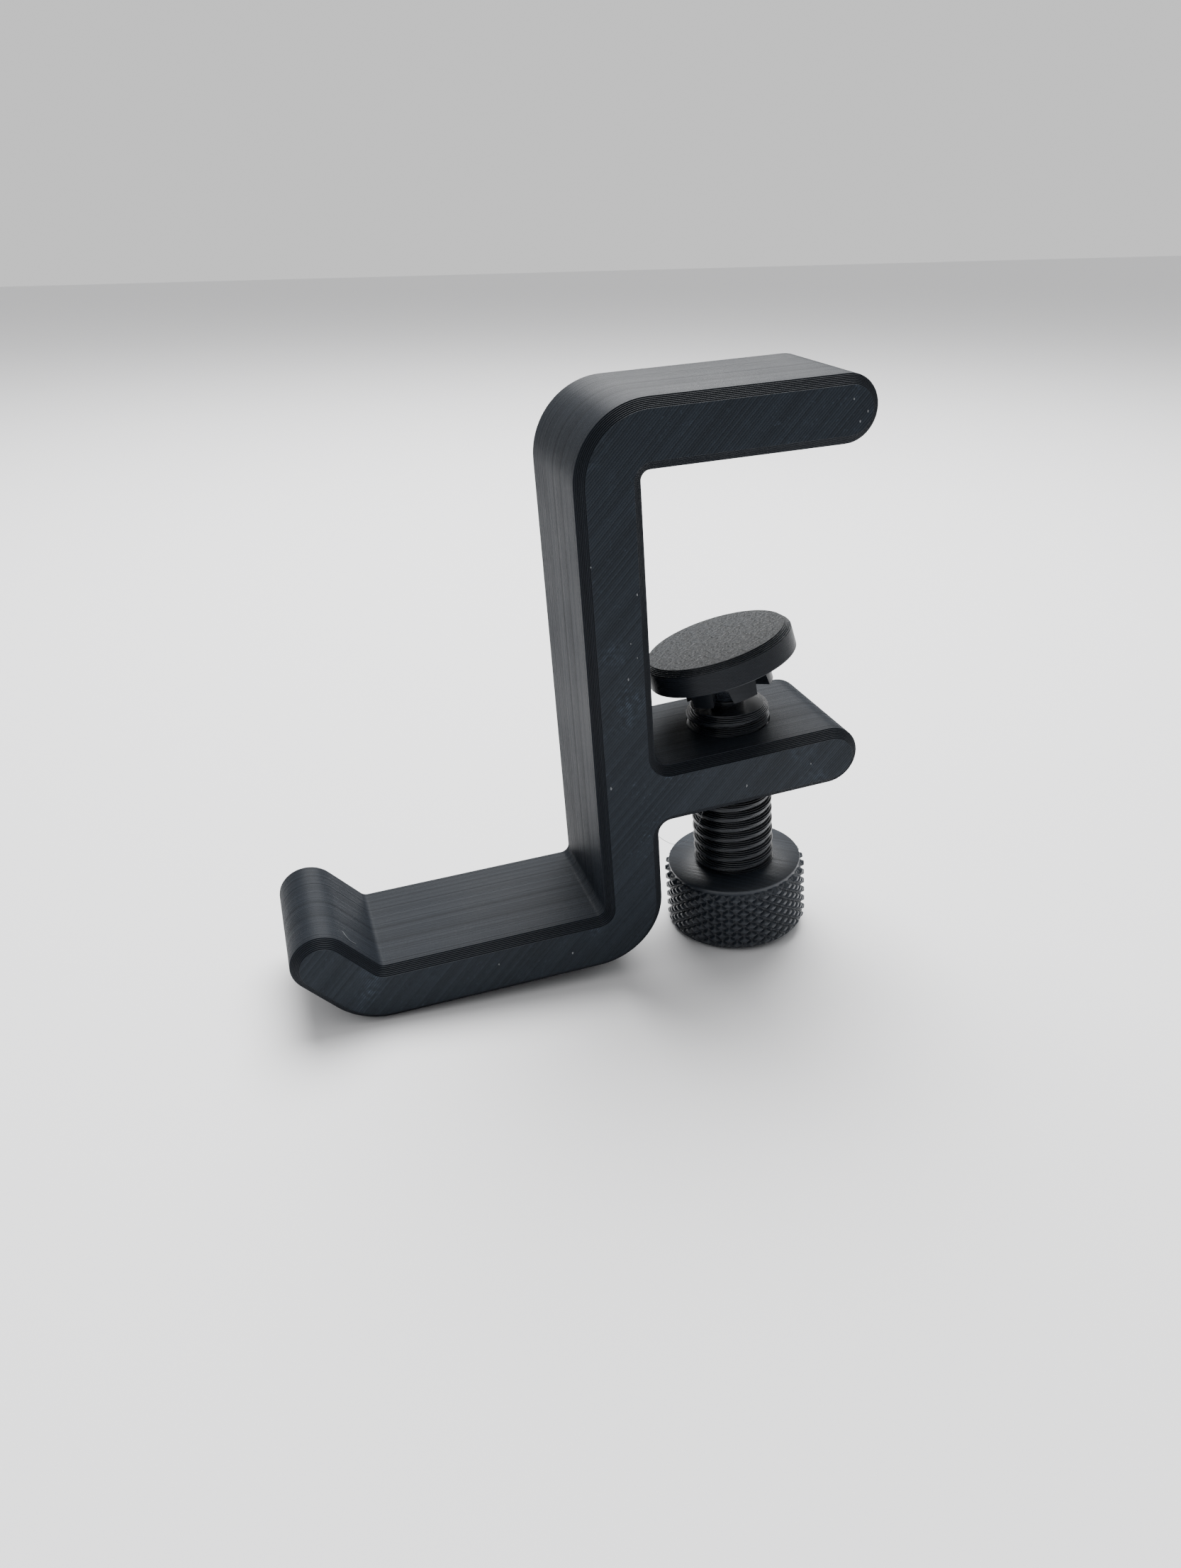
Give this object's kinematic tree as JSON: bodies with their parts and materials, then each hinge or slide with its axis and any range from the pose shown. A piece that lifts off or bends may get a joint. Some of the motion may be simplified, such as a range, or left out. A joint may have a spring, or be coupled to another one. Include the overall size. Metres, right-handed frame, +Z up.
{
  "type": "headphone hook",
  "caption": "Clamp-on under-desk headphone hook: printed frame with two jaws and an upturned hook arm, thumb screw with knurled knob, and a tilting pressure pad on its ball end",
  "frame": {"origin": "on the upper jaw's clamping face, directly above the screw and at mid depth", "axes": "+X from the spine towards the jaw tips, +Y from the front face to the back face, +Z up along the spine"},
  "size_m": [0.0983, 0.0256, 0.0962],
  "materials": {
    "frame_plastic": "satin fused-filament print, 0.2 mm layers and 45 degree infill lines, charcoal black",
    "screw_plastic": "satin fused-filament print, charcoal black",
    "pad_plastic": "satin fused-filament print, its clamping face moulded by the print bed, charcoal black"
  },
  "bodies": {
    "frame": {"frame": "frame_plastic"},
    "carrier": {"ball_neck": "screw_plastic"},
    "screw": {"thumb_screw": "screw_plastic"},
    "swivel": {"ball": "screw_plastic"},
    "pad": {"pad": "pad_plastic"}
  },
  "joints": [
    {"name": "screw_travel", "type": "slide", "parent": "frame", "child": "carrier", "axis": [-0.0244, 0, 0.9997], "range_m": [-0.003, 0.017]},
    {"name": "screw_turn", "type": "hinge", "parent": "carrier", "child": "screw", "pos_m": [0, 0, -0.0463], "axis": [-0.0244, 0, 0.9997], "range_deg": [-541, 3061]},
    {"name": "pad_tilt_side", "type": "hinge", "parent": "carrier", "child": "swivel", "pos_m": [-0.0002, 0, -0.0383], "axis": [0, 1, 0], "range_deg": [-0.57, 23.43]},
    {"name": "pad_tilt_back", "type": "hinge", "parent": "swivel", "child": "pad", "pos_m": [-0.0002, 0, -0.0383], "axis": [0.9751, 0, 0.222], "range_deg": [-4.39, 19.61]}
  ],
  "couplings": [
    {"joint": "screw_turn", "follows": "screw_travel", "rad_per_m": 3141.6}
  ]
}
